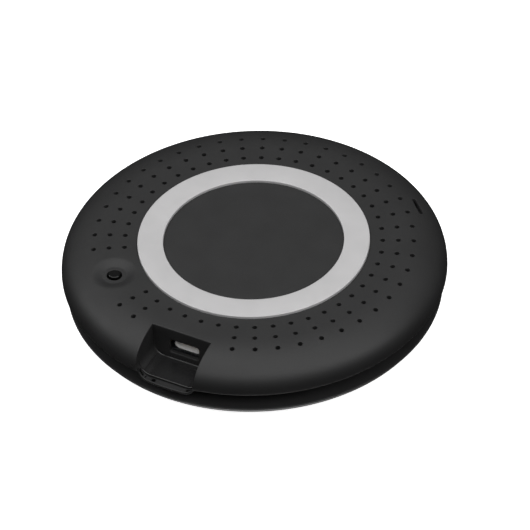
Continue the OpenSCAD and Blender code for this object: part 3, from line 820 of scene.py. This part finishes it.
class Nodes:
    """Short names for building one node material."""

    def __init__(self, name):
        self.material = bpy.data.materials.new(name)
        self.material.use_nodes = True
        self.tree = self.material.node_tree
        self.shader = self.tree.nodes["Principled BSDF"]
        coords = self.tree.nodes.new("ShaderNodeTexCoord")
        self.position = coords.outputs["Object"]

    def node(self, kind, **inputs):
        made = self.tree.nodes.new(kind)
        for key, value in inputs.items():
            socket = made.inputs[key.replace("_", " ")]
            if hasattr(value, "is_output"):
                self.link(value, socket)
            else:
                socket.default_value = value
        return made

    def link(self, a, b):
        self.tree.links.new(a, b)

    def noise(self, scale, detail=2.0, rough=0.5):
        made = self.node("ShaderNodeTexNoise", Vector=self.position, Scale=scale, Detail=detail,
                         Roughness=rough)
        return made.outputs["Fac"]

    def ramp(self, value, low, high, start=0.3, end=0.7):
        """Maps start..end of value to low..high."""
        made = self.node("ShaderNodeMapRange", Value=value)
        made.inputs["From Min"].default_value = start
        made.inputs["From Max"].default_value = end
        made.inputs["To Min"].default_value = low
        made.inputs["To Max"].default_value = high
        return made.outputs["Result"]

    def multiply(self, a, b):
        made = self.tree.nodes.new("ShaderNodeMath")
        made.operation = "MULTIPLY"
        self.link(a, made.inputs[0])
        self.link(b, made.inputs[1])
        return made.outputs["Value"]

    def mix(self, factor, a, b):
        made = self.tree.nodes.new("ShaderNodeMix")
        made.data_type = "RGBA"
        self.link(factor, made.inputs["Factor"])
        for index, value in ((6, a), (7, b)):
            if hasattr(value, "is_output"):
                self.link(value, made.inputs[index])
            else:
                made.inputs[index].default_value = (*value, 1)
        return made.outputs[2]

    def bump(self, height, strength, distance):
        made = self.node("ShaderNodeBump", Height=height, Strength=strength, Distance=distance)
        return made.outputs["Normal"]

    def set(self, **values):
        for key, value in values.items():
            socket = self.shader.inputs[key.replace("_", " ")]
            if hasattr(value, "is_output"):
                self.link(value, socket)
            elif isinstance(value, tuple):
                socket.default_value = (*value, 1)
            else:
                socket.default_value = value
        return self.material


def scaled(colour, factor):
    """A colour made lighter or darker, up to white."""
    return tuple(min(1, c * factor) for c in colour)


def moulded_plastic(name, colour, roughness, grain=0.12, specular=0.5, polished_below=None):
    """Fine spark-eroded texture, a little uneven in tone and gloss, and polished below a height in mm."""
    spread, polish, fade = 0.12, 0.35, 0.8 * MM
    n = Nodes(name)
    cloudy = n.noise(scale=90, detail=3)
    fine = n.noise(scale=5200, detail=2, rough=0.6)
    tone = n.mix(n.ramp(cloudy, 0, 1), scaled(colour, 1 - spread), scaled(colour, 1 + spread))
    speck = n.mix(n.ramp(fine, 0, 0.35, start=0.35, end=0.75), tone, scaled(colour, 1.5))
    gloss = n.ramp(n.noise(scale=2600), roughness - 0.04, roughness + 0.05)
    if polished_below is not None:
        height = n.node("ShaderNodeSeparateXYZ", Vector=n.position).outputs["Z"]
        level = polished_below * MM
        matt = n.ramp(height, polish, 1, start=level, end=level + fade)
        gloss = n.multiply(gloss, matt)
    normal = n.bump(fine, strength=grain, distance=0.00003)
    return n.set(Base_Color=speck, Roughness=gloss, Normal=normal, Specular_IOR_Level=specular)


def soft_rubber(name, colour):
    """Matt rubber with a fine powdery surface."""
    n = Nodes(name)
    cloudy = n.noise(scale=160, detail=3)
    fine = n.noise(scale=3600, detail=3, rough=0.7)
    tone = n.mix(n.ramp(cloudy, 0, 1), scaled(colour, 0.8), scaled(colour, 1.25))
    normal = n.bump(fine, strength=0.15, distance=0.00004)
    return n.set(Base_Color=tone, Roughness=n.ramp(fine, 0.72, 0.86), Normal=normal,
                 Specular_IOR_Level=0.35, Sheen_Weight=0.08)


def satin_metal(name, colour, roughness, metallic=1.0, brushed=True):
    """Fine-grained metal or metal paint, brushed along X if brushed is true."""
    n = Nodes(name)
    fine = n.noise(scale=4200)
    if brushed:
        stretch = n.node("ShaderNodeMapping", Vector=n.position)
        stretch.inputs["Scale"].default_value = (1, 9, 9)
        streaks = n.node("ShaderNodeTexNoise", Vector=stretch.outputs["Vector"], Scale=900.0, Detail=3.0)
        fine = streaks.outputs["Fac"]
    cloudy = n.noise(scale=110)
    tone = n.mix(n.ramp(cloudy, 0, 1), scaled(colour, 0.96), scaled(colour, 1.03))
    gloss = n.ramp(fine, roughness - 0.05, roughness + 0.06)
    normal = n.bump(fine, strength=0.06, distance=0.00002)
    return n.set(Base_Color=tone, Metallic=metallic, Roughness=gloss, Normal=normal)


def woven_cloth(name, colour):
    """Threads that cross along X and Y."""
    n = Nodes(name)
    waves = []
    for direction in ("X", "Y"):
        wave = n.node("ShaderNodeTexWave", Vector=n.position, Scale=900.0, Distortion=0.3)
        wave.bands_direction = direction
        waves.append(wave.outputs["Fac"])
    height = n.multiply(*waves)
    tone = n.mix(height, scaled(colour, 0.5), scaled(colour, 1.5))
    normal = n.bump(height, strength=0.4, distance=0.0001)
    return n.set(Base_Color=tone, Roughness=0.9, Normal=normal, Sheen_Weight=0.2)


def circuit_board(name, colour):
    """Solder mask with faint copper areas and traces under it."""
    n = Nodes(name)
    cells = n.node("ShaderNodeTexVoronoi", Vector=n.position, Scale=420.0)
    cells.feature = "DISTANCE_TO_EDGE"
    traces = n.ramp(cells.outputs["Distance"], 1, 0, start=0.02, end=0.07)
    copper = tuple(c + 0.01 for c in scaled(colour, 2.2))
    tone = n.mix(traces, colour, copper)
    normal = n.bump(traces, strength=0.2, distance=0.00003)
    gloss = n.ramp(n.noise(scale=700), 0.28, 0.4)
    return n.set(Base_Color=tone, Roughness=gloss, Normal=normal, Coat_Weight=0.2)


def pressed_paper(name, colour):
    """Felted fibres."""
    n = Nodes(name)
    fibre = n.noise(scale=1500, detail=6, rough=0.75)
    tone = n.mix(n.ramp(fibre, 0, 1), scaled(colour, 0.6), scaled(colour, 1.6))
    return n.set(Base_Color=tone, Roughness=0.88, Normal=n.bump(fibre, strength=0.4, distance=0.00008))


def wound_wire(name, colour):
    """Turns of wire stacked along Z."""
    n = Nodes(name)
    wave = n.node("ShaderNodeTexWave", Vector=n.position, Scale=1100.0)
    wave.bands_direction = "Z"
    height = wave.outputs["Fac"]
    tone = n.mix(height, scaled(colour, 0.5), colour)
    normal = n.bump(height, strength=0.5, distance=0.00005)
    gloss = n.ramp(n.noise(scale=900), 0.25, 0.4)
    return n.set(Base_Color=tone, Metallic=0.8, Roughness=gloss, Normal=normal)


def build_materials():
    """Every material by name. All but painted_light_rim_plastic and contact_gold are the record's slots.
    painted_light_rim_plastic is a lighter copy of the black base plastic, which paints light on the base
    plate's flange.
    """
    black = (0.0125, 0.0125, 0.0127)
    return {
        "shell_plastic": moulded_plastic("shell_plastic", black, 0.52, specular=0.4,
                                         polished_below=BAY_FLOOR_Z + 0.6),
        "base_plastic": moulded_plastic("base_plastic", black, 0.5, specular=0.4),
        # A lighter copy of the black base plastic: painted light, so that the base plate's flange looks
        # lit
        "painted_light_rim_plastic": moulded_plastic("painted_light_rim_plastic", (0.018, 0.018, 0.0183), 0.5, specular=0.4),
        "inner_plastic": moulded_plastic("inner_plastic", (0.03, 0.03, 0.031), 0.5),
        "disc_plastic": moulded_plastic("disc_plastic", (0.0165, 0.0165, 0.0167), 0.6, 0.08, 0.3),
        "button_plastic": moulded_plastic("button_plastic", (0.002, 0.002, 0.002), 0.14, 0.03, 0.3),
        "satin_silver": satin_metal("satin_silver", (0.455, 0.45, 0.453), 0.5, 0.15, False),
        "foot_rubber": soft_rubber("foot_rubber", (0.02, 0.02, 0.02)),
        "seal_rubber": soft_rubber("seal_rubber", (0.025, 0.025, 0.025)),
        "screw_steel": satin_metal("screw_steel", (0.5, 0.51, 0.53), 0.32),
        "speaker_steel": satin_metal("speaker_steel", (0.46, 0.47, 0.49), 0.36),
        "mesh_cloth": woven_cloth("mesh_cloth", (0.01, 0.01, 0.01)),
        "ferrite": moulded_plastic("ferrite", (0.05, 0.05, 0.055), 0.6, 0.25),
        "cone_paper": pressed_paper("cone_paper", (0.03, 0.028, 0.026)),
        "spider_cloth": woven_cloth("spider_cloth", (0.45, 0.3, 0.12)),
        "former_film": moulded_plastic("former_film", (0.45, 0.25, 0.06), 0.3, 0.03),
        "coil_copper": wound_wire("coil_copper", (0.6, 0.26, 0.12)),
        "board_mask": circuit_board("board_mask", (0.008, 0.009, 0.01)),
        "chip_black": moulded_plastic("chip_black", (0.018, 0.018, 0.02), 0.45, 0.1),
        "tin_plate": satin_metal("tin_plate", (0.6, 0.6, 0.6), 0.35),
        "port_nickel": satin_metal("port_nickel", (0.93, 0.92, 0.91), 0.4, 0.3, False),
        "contact_gold": satin_metal("contact_gold", (0.8, 0.55, 0.2), 0.25, 1.0, False),
        "capacitor_can": satin_metal("capacitor_can", (0.6, 0.61, 0.63), 0.28),
        "lead_red": moulded_plastic("lead_red", (0.35, 0.03, 0.03), 0.35, 0.03),
        "lead_grey": moulded_plastic("lead_grey", (0.12, 0.12, 0.12), 0.35, 0.03),
        "connector_ivory": moulded_plastic("connector_ivory", (0.65, 0.61, 0.5), 0.45, 0.05),
        "plunger_brown": moulded_plastic("plunger_brown", (0.15, 0.07, 0.04), 0.4, 0.05),
    }


def dress(obj, material):
    obj.data.materials.clear()
    obj.data.materials.append(material)


# ---------------------------------------------------------------- assembly


def stand_in(obj, node, body, material):
    """obj shows in place of a CAD node, on that node's body."""
    dress(obj, material)
    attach(obj, body)
    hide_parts(node)


def build_pieces(materials):
    makers = [
        (make_top_shell, "top_shell", "housing", "shell_plastic"),
        (make_trim_ring, "trim_ring", "housing", "satin_silver"),
        (make_centre_disc, "centre_disc", "housing", "disc_plastic"),
        (make_lower_cover, "lower_cover", "housing", "base_plastic"),
        (make_cord_hub, "cord_hub", "housing", "base_plastic"),
        (make_base_plate, "base_plate", "housing", "base_plastic"),
        (make_foot_ring, "foot_ring", "housing", "foot_rubber"),
        (make_button_cap, "button_cap", "button", "button_plastic"),
        (make_receptacle, "usb_receptacle", "housing", "port_nickel"),
        (make_tongue, "usb_tongue", "housing", "chip_black"),
    ]
    for maker, node, body, slot in makers:
        obj = maker()
        if maker in (make_trim_ring, make_centre_disc, make_base_plate, make_foot_ring):
            smooth(obj)
        # The base plate wears the lighter copy of the base plastic, which paints light on its flange
        look = "painted_light_rim_plastic" if node == "base_plate" else slot
        stand_in(obj, node, body, materials[look])
    contacts = make_contacts()
    dress(contacts, materials["contact_gold"])
    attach(contacts, "housing")


def dress_cad_nodes(materials):
    slots = {s["node"]: s["material_slot"] for s in frame["record"]["subparts"]}
    for name, obj in frame["nodes"].items():
        dress(obj, materials[slots[name]])


# ---------------------------------------------------------------- stage, lights and camera


def make_floor():
    """White paper that lights nothing, shows in no reflection, casts no shadow and is clear from below."""
    size, cells = 30, 8
    bpy.ops.mesh.primitive_grid_add(x_subdivisions=cells, y_subdivisions=cells, size=size)
    floor = bpy.context.object
    floor.name = "floor"
    n = Nodes("floor_paper")
    tone = n.mix(n.ramp(n.noise(3), 0, 1), (0.88, 0.88, 0.88), (0.9, 0.9, 0.9))
    dress(floor, n.set(Base_Color=tone, Roughness=0.9, Specular_IOR_Level=0.0, Emission_Color=tone,
                       Emission_Strength=1.0))
    below = n.tree.nodes.new("ShaderNodeNewGeometry").outputs["Backfacing"]
    n.set(Alpha=n.ramp(below, 1, 0, 0, 1))
    floor.location.z = -FLOOR_GAP * MM
    floor.visible_diffuse = False
    floor.visible_glossy = False
    floor.visible_shadow = False


def area_light(name, place_at, size, power):
    """A white rectangle of light that faces the middle of the scene."""
    middle = Vector((0, 0, 0))
    data = bpy.data.lights.new(name, "AREA")
    data.shape = "RECTANGLE"
    data.size, data.size_y = size
    data.energy = power
    obj = bpy.data.objects.new(name, data)
    obj.location = place_at
    obj.rotation_euler = (middle - Vector(place_at)).to_track_quat("-Z", "Y").to_euler()
    bpy.context.scene.collection.objects.link(obj)


def make_world(horizon, zenith):
    """Light from above that fades towards the horizon."""
    full_at = 0.7
    world = bpy.data.worlds.new("studio")
    world.use_nodes = True
    nodes, links = world.node_tree.nodes, world.node_tree.links
    coords = nodes.new("ShaderNodeTexCoord")
    split = nodes.new("ShaderNodeSeparateXYZ")
    fade = nodes.new("ShaderNodeMapRange")
    fade.inputs["From Max"].default_value = full_at
    fade.inputs["To Min"].default_value = horizon
    fade.inputs["To Max"].default_value = zenith
    links.new(coords.outputs["Generated"], split.inputs["Vector"])
    links.new(split.outputs["Z"], fade.inputs["Value"])
    links.new(fade.outputs["Result"], nodes["Background"].inputs["Strength"])
    nodes["Background"].inputs["Color"].default_value = (1, 1, 1, 1)
    bpy.context.scene.world = world


def make_lights():
    """A soft studio. Places and sizes are in metres, powers in watts."""
    make_world(horizon=0.02, zenith=0.22)
    area_light("overhead", (0, 0.05, 1.2), size=(2.2, 1.2), power=13.5)
    area_light("front", (0.3, -0.75, 0.95), size=(2.4, 0.4), power=8.5)
    area_light("left", (-1.1, -0.25, 0.75), size=(0.5, 0.5), power=3.5)
    area_light("right", (1.1, 0.1, 0.75), size=(0.5, 0.5), power=3.5)
    area_light("below", (0, 0, -0.6), size=(0.5, 0.5), power=1.2)
    bpy.context.scene.view_settings.view_transform = "Standard"


def make_camera():
    """The photograph's view: a long lens looking down at the bay's right-hand side."""
    distance, focal_length, sensor_width = 1.3996, 307.1, 36
    azimuth, elevation = math.radians(28.93), math.radians(41.029)
    yaw, pitch, roll = math.radians(-0.1446), math.radians(-0.3096), math.radians(2.159)
    aim = Vector((0, 0, TOP_Z * MM))
    level = math.cos(elevation)
    back = Vector((math.sin(azimuth) * level, -math.cos(azimuth) * level, math.sin(elevation)))
    forward = -back
    right = Vector((math.cos(azimuth), math.sin(azimuth), 0))
    up = right.cross(forward)
    for axis, angle in ((up, yaw), (right, pitch), (forward, roll)):
        turn = Matrix.Rotation(angle, 3, axis)
        right, up, forward = (turn @ v for v in (right, up, forward))
    data = bpy.data.cameras.new("camera")
    data.sensor_width = sensor_width
    data.lens = focal_length
    camera = bpy.data.objects.new("camera", data)
    rotation = Matrix((right, up, -forward)).transposed().to_4x4()
    camera.matrix_world = Matrix.Translation(aim + back * distance) @ rotation
    data.clip_start, data.clip_end = 0.05, 20
    bpy.context.scene.collection.objects.link(camera)
    bpy.context.scene.camera = camera


make_camera()
all_materials = build_materials()
dress_cad_nodes(all_materials)
build_pieces(all_materials)
make_floor()
make_lights()
